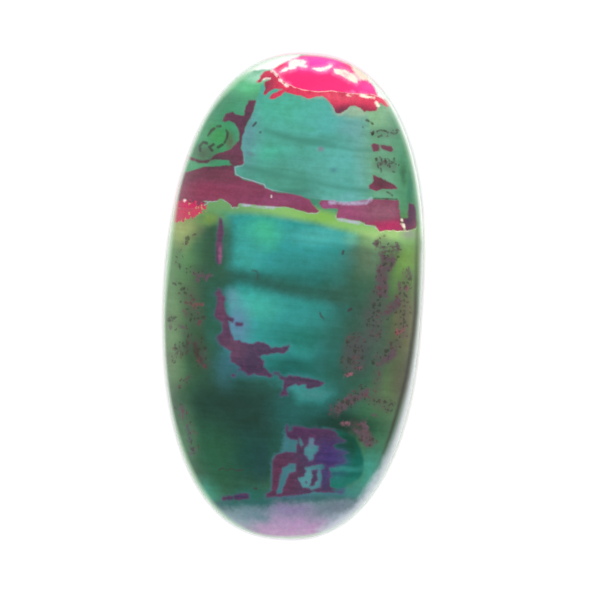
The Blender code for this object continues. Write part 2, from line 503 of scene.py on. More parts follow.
class Bench:
    """Lays out the nodes of one tree."""

    def __init__(self, tree):
        self.tree = tree

    def add(self, kind, settings=None, sockets=None, output=0):
        """Add a node: its settings first, then a value or a wire for each named socket."""
        node = self.tree.nodes.new(kind)
        for name, value in (settings or {}).items():
            setattr(node, name, value)
        for name, value in (sockets or {}).items():
            if isinstance(value, Wire):
                self.tree.links.new(value.socket, node.inputs[name])
            else:
                node.inputs[name].default_value = value
        return Wire(self, node.outputs[output]) if len(node.outputs) else None

    def math(self, operation, *values):
        return self.add("ShaderNodeMath", {"operation": operation}, dict(enumerate(values)))

    def vector(self, operation, *values, output=0):
        settings = {"operation": operation}
        return self.add("ShaderNodeVectorMath", settings, dict(enumerate(values)), output)

    def blend(self, share, first, second):
        """One colour over another, by a share from 0 to 1. Each is a code or a wire."""
        settings = {"data_type": "RGBA", "clamp_factor": True}
        sockets = {0: share, 6: paint(first), 7: paint(second)}
        return self.add("ShaderNodeMix", settings, sockets, output=2)

    def ease(self, value, start, end, low=0.0, high=1.0):
        """A smooth step from low to high while the value goes from start to end."""
        settings = {"interpolation_type": "SMOOTHSTEP", "clamp": False}
        sockets = {0: value, 1: start, 2: end, 3: low, 4: high}
        return self.add("ShaderNodeMapRange", settings, sockets)

    def noise(self, place, feature, detail, roughness):
        """Noise from about -1 to 1, whose blobs are about one feature across."""
        sockets = {"Vector": place, "Scale": 1 / feature, "Detail": detail, "Roughness": roughness}
        noise = self.add("ShaderNodeTexNoise", {}, sockets)
        return noise * NOISE_STRETCH - NOISE_STRETCH / 2


def dye(code):
    """A colour from its code, such as 3c9a98, in the linear values that a material takes."""
    levels = [int(code[at:at + 2], 16) / 255 for at in (0, 2, 4)]
    linear = [
        level / 12.92 if level <= 0.04045 else ((level + 0.055) / 1.055) ** 2.4
        for level in levels
    ]
    return (*linear, 1.0)


def paint(colour):
    """A colour that a socket takes: a wire as it is, or the values of a code."""
    return dye(colour) if isinstance(colour, str) else colour


# The stone's body

def edge_point(bench, turn, length, width, fullness):
    """Where the edge lies at a turn round the stone, from +Y towards +X."""
    across = width * bench.math("SINE", turn)
    along = length * bench.math("COSINE", turn)
    angle = bench.math("ARCTAN2", across, along)
    sine = bench.math("SINE", angle)
    cosine = bench.math("COSINE", angle)
    along = bench.math("ABSOLUTE", cosine) / (length * 0.5)
    across = bench.math("ABSOLUTE", sine) / (width * 0.5)
    distance = (along ** fullness + across ** fullness) ** (-1 / fullness)
    unevenness = 1.0
    for waves, cosine_part, sine_part in UNEVENNESS:
        turned = angle * waves
        unevenness = unevenness + bench.math("COSINE", turned) * cosine_part
        unevenness = unevenness + bench.math("SINE", turned) * sine_part
    distance = distance * unevenness
    return distance * sine, distance * cosine


def moved_to(bench, mesh, x, y, z, moving=True):
    """The mesh with its points, or those that are moving, at new places."""
    place = bench.add("ShaderNodeCombineXYZ", {}, {0: x, 1: y, 2: z})
    sockets = {"Geometry": mesh, "Selection": moving, "Position": place}
    return bench.add("GeometryNodeSetPosition", {}, sockets)


def with_ring(bench, mesh, height, inset=None, scale=None):
    """The mesh grown from its open edge to one more ring, either inset from it or scaled."""
    faces = bench.add("GeometryNodeInputMeshEdgeNeighbors")
    open_edge = bench.math("COMPARE", faces, 1.0, SAME_COUNT)
    sockets = {"Mesh": mesh, "Selection": open_edge, "Offset Scale": 0.0}
    grown = bench.add("GeometryNodeExtrudeMesh", {"mode": "EDGES"}, sockets)
    position = bench.add("GeometryNodeInputPosition")
    flat = bench.vector("MULTIPLY", position, (1.0, 1.0, 0.0))
    if inset is not None:
        scale = 1 - inset / bench.vector("LENGTH", flat, output=1)
    x = bench.add("ShaderNodeSeparateXYZ", {}, {0: flat})
    return moved_to(bench, grown, x * scale, x.beside(1) * scale, height, grown.beside("Top"))


def cabochon_tree():
    """The tree that cuts the stone: a dome from a flat grid, then its side and its back."""
    tree = bpy.data.node_groups.new("cabochon_cut", "GeometryNodeTree")
    tree.interface.new_socket("Geometry", in_out="OUTPUT", socket_type="NodeSocketGeometry")
    kinds = {"Agate": "Material", "Across Steps": "Int", "Along Steps": "Int"}
    names = (
        "Length", "Width", "Thickness", "Girdle Height", "Bevel Height", "Bevel Inset",
        "Back Inset", "Fullness", "Crown Flatness", "Flank Steepness", *kinds,
    )
    for name in names:
        kind = "NodeSocket" + kinds.get(name, "Float")
        tree.interface.new_socket(name, in_out="INPUT", socket_type=kind)
    bench = Bench(tree)
    entry = bench.add("NodeGroupInput")
    given = {name: entry.beside(name) for name in names}
    length, width, girdle = given["Length"], given["Width"], given["Girdle Height"]

    # A flat grid from -1 to 1 is pulled out to the edge, and each point keeps in z its share
    # of the way there from the middle
    counts = {"Vertices X": given["Across Steps"] + 1, "Vertices Y": given["Along Steps"] + 1}
    grid = bench.add("GeometryNodeMeshGrid", {}, {"Size X": 2.0, "Size Y": 2.0, **counts})
    x = bench.add("ShaderNodeSeparateXYZ", {}, {0: bench.add("GeometryNodeInputPosition")})
    y = x.beside(1)
    outwards = bench.math("MAXIMUM", bench.math("ABSOLUTE", x), bench.math("ABSOLUTE", y))
    inwards = 1 - outwards
    share = 1 - inwards * inwards * (1 + RIM_CROWDING) / (inwards + RIM_CROWDING)
    turn = bench.math("ARCTAN2", x, y)
    edge_x, edge_y = edge_point(bench, turn, length, width, given["Fullness"])
    rim = moved_to(bench, grid, edge_x, edge_y, share)

    # Hand cutting leaves the oval a little off centre, so it is set in its own box again
    low = bench.add("GeometryNodeBoundBox", {}, {0: rim}, output=1)
    high = low.beside(2)
    middle = bench.vector("MULTIPLY", bench.vector("ADD", low, high), (0.5, 0.5, 0.5))
    size = bench.add("ShaderNodeCombineXYZ", {}, {0: width, 1: length, 2: 1.0})
    stretch = bench.vector("DIVIDE", size, bench.vector("SUBTRACT", high, low))
    position = bench.add("GeometryNodeInputPosition")
    centred = bench.vector("MULTIPLY", bench.vector("SUBTRACT", position, middle), stretch)
    x = bench.add("ShaderNodeSeparateXYZ", {}, {0: centred})
    share = bench.add("ShaderNodeSeparateXYZ", {}, {0: position}, output=2)
    fall = bench.math("MAXIMUM", 1 - share ** given["Crown Flatness"], 0.0)
    rise = fall ** (1 / given["Flank Steepness"])
    height = girdle + (given["Thickness"] - girdle) * rise
    stone = moved_to(bench, rim, x * share, x.beside(1) * share, height)

    stone = with_ring(bench, stone, given["Bevel Height"], inset=given["Bevel Inset"])
    stone = with_ring(bench, stone, 0.0, inset=given["Back Inset"] - given["Bevel Inset"])
    for left in reversed(range(BACK_ROWS)):
        stone = with_ring(bench, stone, 0.0, scale=left / (left + 1))

    sockets = {"Geometry": stone, "Distance": SAME_PLACE}
    closed = bench.add("GeometryNodeMergeByDistance", {}, sockets)
    smooth = bench.add("GeometryNodeSetShadeSmooth", {}, {"Geometry": closed})
    real = bench.add("GeometryNodeRealizeInstances", {}, {"Geometry": smooth})
    done = bench.add("GeometryNodeSetMaterial", {}, {"Geometry": real, "Material": given["Agate"]})
    bench.add("NodeGroupOutput", {}, {0: done})
    return tree


def cut_cabochon(material):
    """The finished stone as a plain mesh."""
    blank = bpy.data.objects.new("blank", bpy.data.meshes.new("blank"))
    bpy.context.collection.objects.link(blank)
    cut = blank.modifiers.new("cut", "NODES")
    cut.node_group = cabochon_tree()
    values = {
        "Length": LENGTH, "Width": WIDTH, "Thickness": THICKNESS,
        "Girdle Height": GIRDLE_HEIGHT, "Bevel Height": BEVEL_HEIGHT,
        "Bevel Inset": BEVEL_INSET, "Back Inset": BACK_INSET, "Fullness": OVAL_FULLNESS,
        "Crown Flatness": CROWN_FLATNESS, "Flank Steepness": FLANK_STEEPNESS,
        "Across Steps": ACROSS_STEPS, "Along Steps": ALONG_STEPS, "Agate": material,
    }
    for socket in cut.node_group.interface.items_tree:
        if socket.in_out == "INPUT":
            cut[socket.identifier] = values[socket.name]
    rounding = blank.modifiers.new("rounding", "BEVEL")
    rounding.width = EDGE_ROUNDING
    rounding.segments = EDGE_SEGMENTS
    rounding.limit_method = "ANGLE"
    rounding.angle_limit = SHARP_ANGLE
    ready = blank.evaluated_get(bpy.context.evaluated_depsgraph_get())
    mesh = bpy.data.meshes.new_from_object(ready)
    mesh.name = "agate_cabochon"
    # The grid that the stone is bent from brings an empty material slot
    mesh.materials.pop(index=0)
    bpy.data.objects.remove(blank, do_unlink=True)

    work = bmesh.new()
    work.from_mesh(mesh)
    bmesh.ops.recalc_face_normals(work, faces=work.faces)
    work.to_mesh(mesh)
    work.free()
    mesh.shade_smooth()
    stone = bpy.data.objects.new("agate_cabochon", mesh)
    bpy.context.collection.objects.link(stone)
    return stone


# The pattern's fields

def as_seen(points):
    """The picture's pixels at which the camera sees points of the stone."""
    offset = points[:, :2] - np.array(VIEW_CENTRE)
    nearer = VIEW_DISTANCE / (VIEW_DISTANCE + GIRDLE_HEIGHT - points[:, 2:3])
    offset = offset * nearer / PIXEL
    cosine, sine = math.cos(VIEW_TURN), math.sin(VIEW_TURN)
    right = offset[:, 0] * cosine + offset[:, 1] * sine
    up = offset[:, 1] * cosine - offset[:, 0] * sine
    half = PICTURE_PIXELS / 2
    return np.column_stack([half + right, half - up])


def gap_to_line(places, line, closed=False):
    """Each place's distance from a line of straight runs, in pixels."""
    corners = np.array(line + line[:1] if closed else line, float)
    nearest = np.full(len(places), FAR_AWAY)
    for start, end in zip(corners, corners[1:]):
        run = end - start
        along = np.clip((places - start) @ run / max(run @ run, TINY), 0, 1)
        gap = np.hypot(*(places - start - along[:, None] * run).T)
        nearest = np.minimum(nearest, gap)
    return nearest


def depth_in_outline(places, outline):
    """How deep each place lies inside an outline, in pixels, and below 0 outside it."""
    x, y = places.T
    inside = np.zeros(len(places), bool)
    for (x0, y0), (x1, y1) in zip(outline, outline[1:] + outline[:1]):
        if y0 != y1:
            crossing = x0 + (y - y0) * (x1 - x0) / (y1 - y0)
            inside ^= ((y0 > y) != (y1 > y)) & (x < crossing)
    gap = gap_to_line(places, outline, closed=True)
    return np.where(inside, gap, -gap)


def deepest(fields):
    """The deepest of several fields, at each place."""
    return np.maximum.reduce(list(fields))


def patches(places, outlines):
    return deepest(depth_in_outline(places, outline) for outline in outlines.values())


def strokes(places, lines):
    return deepest(half - gap_to_line(places, line) for half, line in lines.values())


def marks(places, lines, outlines):
    """Strokes and patches of one kind."""
    return deepest([strokes(places, lines), patches(places, outlines)])


def pattern_fields(places):
    """The depth inside each kind of patch, for each place."""
    window = depth_in_outline(places, UPPER_WINDOW_REFLECTION)
    maroon = patches(places, MAROON_PATCHES)
    band = np.where(places[:, 0] < BAND_END, np.minimum(maroon, -window), maroon)
    veins = patches(places, PURPLE_VEINS)
    veins = np.minimum(veins, -patches(places, VEIN_HOLES))
    islands = patches(places, VEIN_ISLANDS)
    return {
        "tip": depth_in_outline(places, PINK_TIP),
        "shoulder": depth_in_outline(places, CREAM_SHOULDER),
        "drips": depth_in_outline(places, RED_DRIPS),
        "window": window,
        "maroon": band,
        "hot": depth_in_outline(places, HOT_PATCH),
        "lime": -gap_to_line(places, LIME_SEAM),
        "pale_edge": depth_in_outline(places, PALE_EDGE),
        "low_windows": patches(places, LOWER_WINDOW_REFLECTIONS),
        "veins": deepest([veins, islands, strokes(places, VEIN_STROKES)]),
        "disc": depth_in_outline(places, GREEN_DISC),
        "lattice": depth_in_outline(places, LATTICE_GROUND),
        "end": depth_in_outline(places, END_LINE),
        "chalk": marks(places, CHALK_STROKES, CHALK_PATCHES),
        "lilac": strokes(places, LILAC_STROKES),
        "dark": strokes(places, DARK_STROKES),
        "flecks": marks(places, FLECK_STROKES, FLECK_PATCHES),
        "cracks": strokes(places, CRACK_STROKES),
        "pepper": strokes(places, PEPPER_LANES),
        "pale_shoulders": patches(places, PALE_SHOULDERS),
    }


def pattern_places(points, rim_gap):
    """Where each point of the stone lies in the pattern, and how far in from the rim.

    On the dome this is the pixel at which the camera sees it. Down the side it moves inwards.
    Beneath the stone the bands lie aslant, so they drift further the further in they are.
    """
    places = as_seen(points)
    towards_middle = as_seen(np.zeros((1, 3))) - places
    towards_middle /= np.maximum(np.hypot(*towards_middle.T), 1.0)[:, None]
    below = np.clip(1 - points[:, 2] / GIRDLE_HEIGHT, 0, 1)
    fold = SIDE_FOLD * below * (1 - np.clip(rim_gap / SIDE_FOLD_REACH, 0, 1))
    inwards = np.clip(rim_gap / BAND_DRIFT_REACH, 0, 1)
    drift = inwards * inwards * (3 - 2 * inwards) * (points[:, 2] < BEVEL_HEIGHT)
    places = places + towards_middle * fold[:, None] + drift[:, None] * np.array(BAND_DRIFT)
    return places, rim_gap + fold


def lay_out_map(mesh, points):
    """One flat map of the stone: the dome on the left of it, the side and back on the right."""
    level = points[:, 2:3]
    radius = np.maximum(np.hypot(*points[:, :2].T)[:, None], TINY)
    outwards = points[:, :2] / radius
    dome = points[:, :2] + outwards * (THICKNESS - level) * DOME_FLANK_ROOM
    under = points[:, :2] + outwards * level * SIDE_ROOM
    dome = dome * DOME_MAP_SCALE + np.array(DOME_MAP_CENTRE)
    under = under * BACK_MAP_SCALE + np.array(BACK_MAP_CENTRE)

    corners = np.empty(len(mesh.loops), np.int32)
    mesh.loops.foreach_get("vertex_index", corners)
    counts = np.empty(len(mesh.polygons), np.int32)
    mesh.polygons.foreach_get("loop_total", counts)
    face_of_corner = np.repeat(np.arange(len(counts)), counts)
    lowest = np.full(len(counts), FAR_AWAY)
    np.minimum.at(lowest, face_of_corner, points[corners, 2])
    on_dome = (lowest > GIRDLE_HEIGHT - SAME_PLACE)[face_of_corner]
    flat = np.where(on_dome[:, None], dome[corners], under[corners])
    mesh.uv_layers.new(name="OFBake").data.foreach_set("uv", flat.ravel())


def mark_pattern(stone):
    """Store on the stone's points where each lies in the pattern and in its patches."""
    mesh = stone.data
    points = np.empty(len(mesh.vertices) * 3)
    mesh.vertices.foreach_get("co", points)
    points = points.reshape(-1, 3)
    rim = points[np.abs(points[:, 2] - GIRDLE_HEIGHT) < SAME_PLACE, :2]
    rim = rim[np.argsort(np.arctan2(*rim.T))][::RIM_SAMPLING]
    rim_gap = gap_to_line(points[:, :2] / PIXEL, (rim / PIXEL).tolist(), closed=True)
    places, rim_gap = pattern_places(points, rim_gap)
    depth = (THICKNESS - points[:, 2:3]) / PIXEL
    place = mesh.attributes.new("place", "FLOAT_VECTOR", "POINT")
    place.data.foreach_set("vector", np.hstack([places, depth]).ravel())
    fields = pattern_fields(places)
    fields["rim"] = rim_gap
    for name, values in fields.items():
        mesh.attributes.new(name, "FLOAT", "POINT").data.foreach_set("value", values)
    lay_out_map(mesh, points)


# Colour

# Soft clouds of colour, one over the other: centre x and y, half width and height, colour,
# strength, and how much of the cloud is its soft edge, where that isn't as usual
USUAL_SOFTNESS = 0.9
GROUND_COLOUR = "3e6248"
GROUND_CLOUDS = {
    "upper part": (293, 120, 175, 118, "509674", 1.0, 0.12),
    "upper left flank": (205, 140, 48, 70, "3c8662", 0.9, 0.5),
    "upper left rim": (192, 150, 20, 60, "5aa47a", 0.6),
    "upper left crest": (244, 82, 32, 14, "5cb884", 0.9),
    "crest light": (258, 75, 16, 7, "a6dcc2", 0.8),
    "upper left ring": (219, 138, 14, 16, "409050", 0.8),
    "upper left lobe": (204, 153, 14, 9, "4c5e4c", 0.9),
    "ring shade": (231, 142, 6, 10, "56624e", 0.8),
    "upper right flank": (388, 150, 30, 70, "6a9a7c", 0.8, 0.5),
    "upper right crest": (372, 114, 24, 14, "8cb88e", 0.7),
    "upper right rim": (408, 160, 15, 70, "3a845c", 0.9),
    "centre": (290, 330, 84, 150, "22564e", 0.9, 0.3),
    "left pale flank": (158, 270, 44, 85, "62905c", 0.9),
    "left olive": (178, 228, 26, 18, "98a468", 0.9),
    "left mid flank": (178, 368, 32, 90, "325c40", 0.85, 0.8),
    "left outer flank": (172, 335, 14, 60, "6c8c62", 0.8),
    "left brown haze": (196, 302, 16, 34, "5a5e4a", 0.5),
    "left dark lane": (211, 325, 20, 120, "284c3c", 0.9),
    "left dark lane top": (213, 250, 9, 34, "2e4e3c", 0.75),
    "right green": (366, 262, 40, 40, "3e684c", 0.8, 0.8),
    "right haze": (368, 260, 18, 22, "647a60", 0.8),
    "right olive flank": (408, 258, 24, 46, "6c9448", 0.9),
    "right brown flank": (402, 345, 22, 62, "585c42", 0.8),
    "right yellow spots": (407, 318, 12, 34, "787046", 0.5),
    "right inner lane": (352, 330, 32, 80, "305244", 0.85),
    "right grey lane": (374, 330, 16, 40, "4c5450", 0.6),
    "right grey patch": (355, 352, 18, 22, "424a4a", 0.7),
    "low right flank": (382, 432, 30, 46, "36684a", 0.9, 0.6),
    "low right olive": (392, 396, 22, 30, "586c48", 0.8),
    "right brown foot": (402, 382, 12, 24, "504e3e", 0.8),
    "low dark middle": (236, 414, 68, 40, "1e3a32", 0.95, 0.7),
    "low dark foot": (246, 462, 42, 36, "16403a", 0.9),
    "arch shade": (261, 460, 9, 24, "1e4040", 0.8),
    "low left green": (205, 462, 36, 44, "26563e", 0.9, 0.8),
    "low left pale": (184, 440, 14, 40, "4e805a", 0.5),
    "low left teal": (200, 500, 20, 20, "2c947e", 0.9),
    "low middle teal": (308, 412, 40, 26, "205450", 0.9, 0.6),
    "low shade": (342, 425, 42, 15, "18342a", 0.9, 0.8),
    "low right teal": (376, 478, 26, 28, "368c7c", 0.9, 0.8),
    "low foot teal": (350, 494, 40, 12, "387c74", 0.95),
    "lattice foot": (302, 499, 52, 8, "385a66", 1.0),
    "bar foot": (250, 496, 26, 12, "225c50", 0.9),
    "lime left": (209, 217, 14, 9, "6c8c48", 0.9),
    "left low shade": (200, 352, 14, 22, "3a4836", 0.7),
    "left teal haze": (213, 325, 10, 44, "2a6052", 0.6),
    "vein haze": (226, 364, 13, 26, "32606a", 0.8),
    "edge streak": (402, 172, 3.5, 13, "2c5c40", 0.7),
    "edge streak foot": (409, 188, 4, 20, "226a50", 0.7),
    "lime fade": (386, 240, 32, 10, "86b278", 0.8),
}
# The windows' colours: the stone's teal lightened by a painted window reflection
WINDOW_REFLECTION_COLOUR = "4e9e8e"
WINDOW_REFLECTION_CLOUDS = {
    "lit middle": (285, 108, 60, 20, "48a48c", 0.9),
    "lit right": (325, 122, 30, 26, "50a29c", 0.9),
    "lilac right": (354, 132, 18, 22, "6c9ca0", 0.7),
    "blue edge": (248, 138, 14, 44, "5c8a92", 0.85),
    "green middle": (272, 152, 22, 14, "46aa8e", 0.7),
    "green shade": (310, 141, 60, 9, "448878", 0.7),
    "blue middle": (330, 165, 36, 12, "58aca8", 0.6),
    "lower part": (290, 178, 60, 24, "468674", 0.8),
    "lower right": (345, 172, 34, 34, "56a098", 0.8),
    "lower lip": (250, 176, 20, 9, "468878", 0.7),
    "foot": (338, 200, 40, 6, "609c9a", 0.7),
    "foot shade": (297, 193, 26, 6, "3a6e5e", 0.7),
    "right fade": (368, 150, 14, 60, "6c9a8c", 0.7),
    "top right tan": (357, 110, 22, 9, "98b092", 0.8),
    "pink smudge": (321.5, 150, 4, 2.4, "7a6a82", 0.7),
    "grey smudge": (333, 168.5, 5, 3, "488086", 0.7),
    "left smudge": (250, 154, 5, 2.6, "587a80", 0.7),
    "top smudge": (308, 126, 7, 3, "469884", 0.7),
}
LOW_WINDOW_REFLECTION_COLOUR = "2c8a86"
LOW_WINDOW_REFLECTION_CLOUDS = {
    "top left glow": (262, 232, 22, 18, "3eaa84", 0.9),
    "top right glow": (322, 236, 34, 12, "46a09a", 0.8),
    "left glow": (245, 254, 20, 30, "36928a", 0.9),
    "left fade": (229, 242, 8, 34, "2c665c", 0.8),
    "blue corner": (306, 264, 40, 12, "2a7c78", 0.9),
    "shaded foot": (300, 281, 70, 13, "1e5a52", 0.9),
    "right fade": (358, 274, 32, 30, "345e50", 0.95),
    "right olive": (360, 252, 16, 14, "4c6c58", 0.8),
    "lime corner": (358, 238, 16, 8, "6cae90", 0.7),
    "second glow": (252, 306, 32, 16, "3ca294", 0.9),
    "second shade": (310, 318, 60, 44, "2a7870", 0.4),
    "second blue": (238, 326, 15, 26, "587c96", 0.85),
    "second pale": (232, 298, 9, 12, "60889a", 0.6),
    "second deep": (306, 338, 44, 13, "1c685c", 0.9),
    "second dim": (330, 340, 24, 44, "285c54", 0.5),
    "second right": (350, 330, 24, 40, "2c584c", 0.95),
    "second lower": (292, 368, 50, 15, "165048", 0.9),
    "second lower left": (226, 362, 16, 24, "32606a", 0.95),
    "second lower edge": (262, 382, 34, 7, "245450", 0.8),
    "second lower blue": (241, 374, 17, 11, "325c66", 1.0),
    "second lower right": (346, 376, 32, 34, "264e42", 0.95),
    "second foot": (312, 393, 24, 8, "3a7876", 0.9),
}
LATTICE_COLOUR = "386a70"
LATTICE_CLOUDS = {
    "top": (296, 425, 30, 14, "245a58", 0.9),
    "middle glow": (309, 448, 10, 14, "4a8288", 0.7),
    "star head": (310, 440, 6, 6, "566a7e", 0.9),
    "cup glow": (306, 478, 16, 14, "528e92", 0.7),
    "left": (271, 478, 8, 30, "2c6462", 0.9),
    "foot": (310, 500, 40, 6, "3a5c68", 0.9),
    "right": (345, 470, 20, 40, "3a4a6a", 0.9),
}
MAROON_COLOUR = "7c3c54"
MAROON_CLOUDS = {
    "upper strip": (240, 120, 26, 44, "543848", 0.9, 0.7),
    "left shelf": (212, 160, 32, 10, "4c3a42", 0.9, 0.8),
    "shelf foot": (208, 174, 44, 8, "663a48", 0.9),
    "band heart": (200, 192, 36, 10, "843a52", 0.8),
    "band right": (280, 200, 36, 10, "824062", 0.8),
    "block": (350, 212, 26, 14, "904a6c", 0.8),
    "block grey": (382, 210, 24, 12, "8a5668", 0.9, 0.8),
    "block violet": (327, 204, 10, 5, "8c4c78", 0.7),
    "block foot": (390, 227, 24, 8, "b03460", 0.9),
    "strip": (411, 216, 10, 20, "54304a", 1.0, 0.6),
    "corner": (384, 183, 16, 9, "54383e", 0.8),
    "upper dashes": (382, 148, 16, 8, "664650", 0.8),
}
HOT_COLOUR = "c42459"
HOT_SHADE = "a03450"
HOT_FLECK = "ac9e68"
VEIN_COLOUR = "442e48"
VEIN_CLOUDS = {
    "streak": (220, 240, 8, 30, "5e3c54", 0.8),
    "streak heart": (220, 254, 3, 10, "945a78", 0.8),
    "crawling top": (222, 308, 9, 28, "603c54", 0.9),
    "crawling red": (232, 348, 16, 16, "5c3a50", 0.9),
    "shelf left": (280, 478, 18, 36, "542a42", 0.95),
    "shelf top": (300, 432, 34, 9, "48284a", 0.9, 0.8),
    "shelf right": (332, 456, 24, 20, "3c2c64", 0.9),
    "shelf lower right": (326, 478, 10, 12, "3c3a66", 0.8),
    "bottom bar": (236, 497, 20, 5, "382c4c", 0.9),
}
FLECK_COLOUR = "5c4652"
FLECK_CLOUDS = {
    "upper column": (385, 262, 16, 24, "5e4650", 0.8),
    "low hook": (364, 430, 16, 20, "644a56", 0.8),
    "red rim": (398, 332, 10, 8, "b43c5e", 0.8),
    "rim berry": (407, 288, 6, 5, "964060", 0.8),
    "dashes": (352, 371, 12, 8, "a85c70", 0.8),
    "pebble": (346, 424, 8, 5, "8c5a68", 0.8),
    "left red": (196, 302, 14, 14, "843c48", 0.8),
    "left dark": (194, 356, 24, 24, "40302e", 1.0, 0.7),
    "left foot": (190, 432, 12, 30, "46405a", 0.95),
}
DISC_COLOUR = "125c50"
DISC_CLOUDS = {
    "dark top": (345, 442, 20, 15, "143e2e", 0.9),
    "foot": (345, 484, 26, 8, "207264", 0.8),
    "violet edge": (336, 462, 14, 18, "34446a", 0.8),
    "streak": (346, 469.5, 30, 3.5, "2c7c74", 0.8),
}
LIME_COLOUR = "80b264"
LIME_CLOUDS = {
    "left end": (222, 208, 44, 14, "64905e", 0.9),
    "middle gap": (322, 216, 26, 10, "7aac4c", 0.9),
    "right end": (384, 236, 40, 10, "a0c47c", 0.9),
    "far right": (411, 237, 10, 6, "8c9088", 0.8),
}
PINK_COLOUR = "ff3478"
PINK_CLOUDS = {
    "magenta crest": (322, 61, 36, 12, "ff44b4", 1.0),
    "magenta lobe": (370, 85, 18, 10, "ff44a2", 0.9),
    "red heart": (300, 82, 26, 9, "fa2e70", 0.7),
    "left lobe": (277, 67, 13, 9, "e23c60", 0.8),
}
RED_COLOUR = "d03a58"
RED_CLOUDS = {
    "left drips": (266, 88, 13, 14, "84384a", 0.9),
    "deep tips": (348, 112, 46, 9, "6a3448", 1.0),
    "bright middle": (345, 97, 34, 6, "dc5068", 0.8),
    "right end": (382, 100, 14, 8, "e84468", 0.8),
}
CHALK_COLOUR = "fffaf0"
CHALK_HALO = "ff9cd0"
CREAM_COLOUR = "fff4da"
SEAM_COLOUR = "fcc4c0"
FRINGE_COLOUR = "b4a894"
LILAC_COLOUR = "b0aeca"
# The colour of the painted dark bars and shade across the window reflection
WINDOW_BAR_AND_SHADE_COLOUR = "3a7868"
CRACK_COLOUR = "3a3034"
# The painted pale reflection along the right edge: its colour, lower down, and at the rim
PALE_EDGE_COLOUR = "98a0a0"
PALE_EDGE_LOW = "bac2cc"
PALE_EDGE_RIM = "dcdee4"
# The white painted light on the shoulders beside the tip
PALE_SHOULDER = "fcfefc"
# The painted shade line inside the pale reflection
EDGE_SHADE_LINE_COLOUR = "2c2a24"
# The painted glow along the rim, a painted reflection, and the whiter painted shine at the upper
# right rim
GLOW_COLOUR = "c6eac8"
GLOW_RIM = "f8fffa"
PEPPER_HAZE = "4e484a"
# The grains' spacing in pixels, and how many of them show where the pepper is thickest
PEPPER_GRAINS = ((3.8, 0.55), (6.2, 0.5))
PEPPER_DARK = "34382e"
PEPPER_RED = "5e3c42"
VEIN_HALO = "5c5c8c"
VEIN_EDGE = "743c60"
VEIN_MOTTLE = "6a2c50"
END_TEAL = "2c5e5c"
END_GREY = "667c84"
END_PINK = "b092b2"
END_BLOTCH = "a87ca8"
END_CLOUDS = {
    "lilac": (286, 524, 50, 14, "9a88a8", 1.0),
    "left foot": (236, 522, 22, 14, "88a0a6", 0.9),
    "violet": (292, 509, 26, 7, "84749a", 0.8),
    "left grey": (252, 515, 24, 8, "64808a", 0.9),
    "right grey": (336, 508, 22, 10, "64727e", 0.9),
    "right pale": (340, 524, 18, 12, "8e9caa", 0.9),
}


# How each patch's edge runs, in pixels: how ragged it is in the medium, fine and finest noise,
# the depths inside its outline between which it fades in, and its shares there, where they
# aren't 0 and 1
EDGES = {
    "window": (0, 0.5, 0, -1.6, 1.2),
    "low_windows": (1, 0, 0, -7, 7),
    "lattice": (0, 2, 0, -2.5, 3),
    "disc": (0, 0, 0, -1.5, 3),
    "dark": (0, 1.6, 0, -3.6, 3.6, 0, 0.62),
    "lime": (0.7, 0, 0, -12, -2),
    "end": (1.5, 0, 0, -4, 4),
    "maroon": (0, 0.9, 0, -1.1, 1),
    "hot": (0, 3, 3, -1.2, 1.2),
    "veins": (0, 1.2, 0, -1.4, 1.2),
    "flecks": (0, 1.5, 1.2, -1.8, 1.8),
    "pepper": (3, 0, 0, -5, 5),
    "cracks": (0, 0.5, 0, -0.9, 0.9, 0, 0.8),
    "lilac": (0, 0.9, 0, -1.6, 1.6),
    "drips": (0, 1, 0, -1, 1),
    "tip": (0, 0.5, 0, -0.6, 0.6),
    "shoulder": (0, 1.5, 0, -2, 2, 0, 0.85),
    "chalk": (0, 1.1, 0, -1.2, 1.2),
    "pale_shoulders": (0, 0.6, 0, -1.6, 1.6),
}

# Lines along a patch's edge, in pixels: how deep inside it their middle runs, half their width,
# and how far they blur
LINES = {
    "window lip": (0.9, 0.3, 1.1),
    "band foot": (-0.6, 0.3, 0.8),
    "vein edge": (0.6, 0.3, 1.6),
    "dark edge line": (-1.8, 1.6, 2),
    "seam": (-0.4, 0.3, 0.7),
}

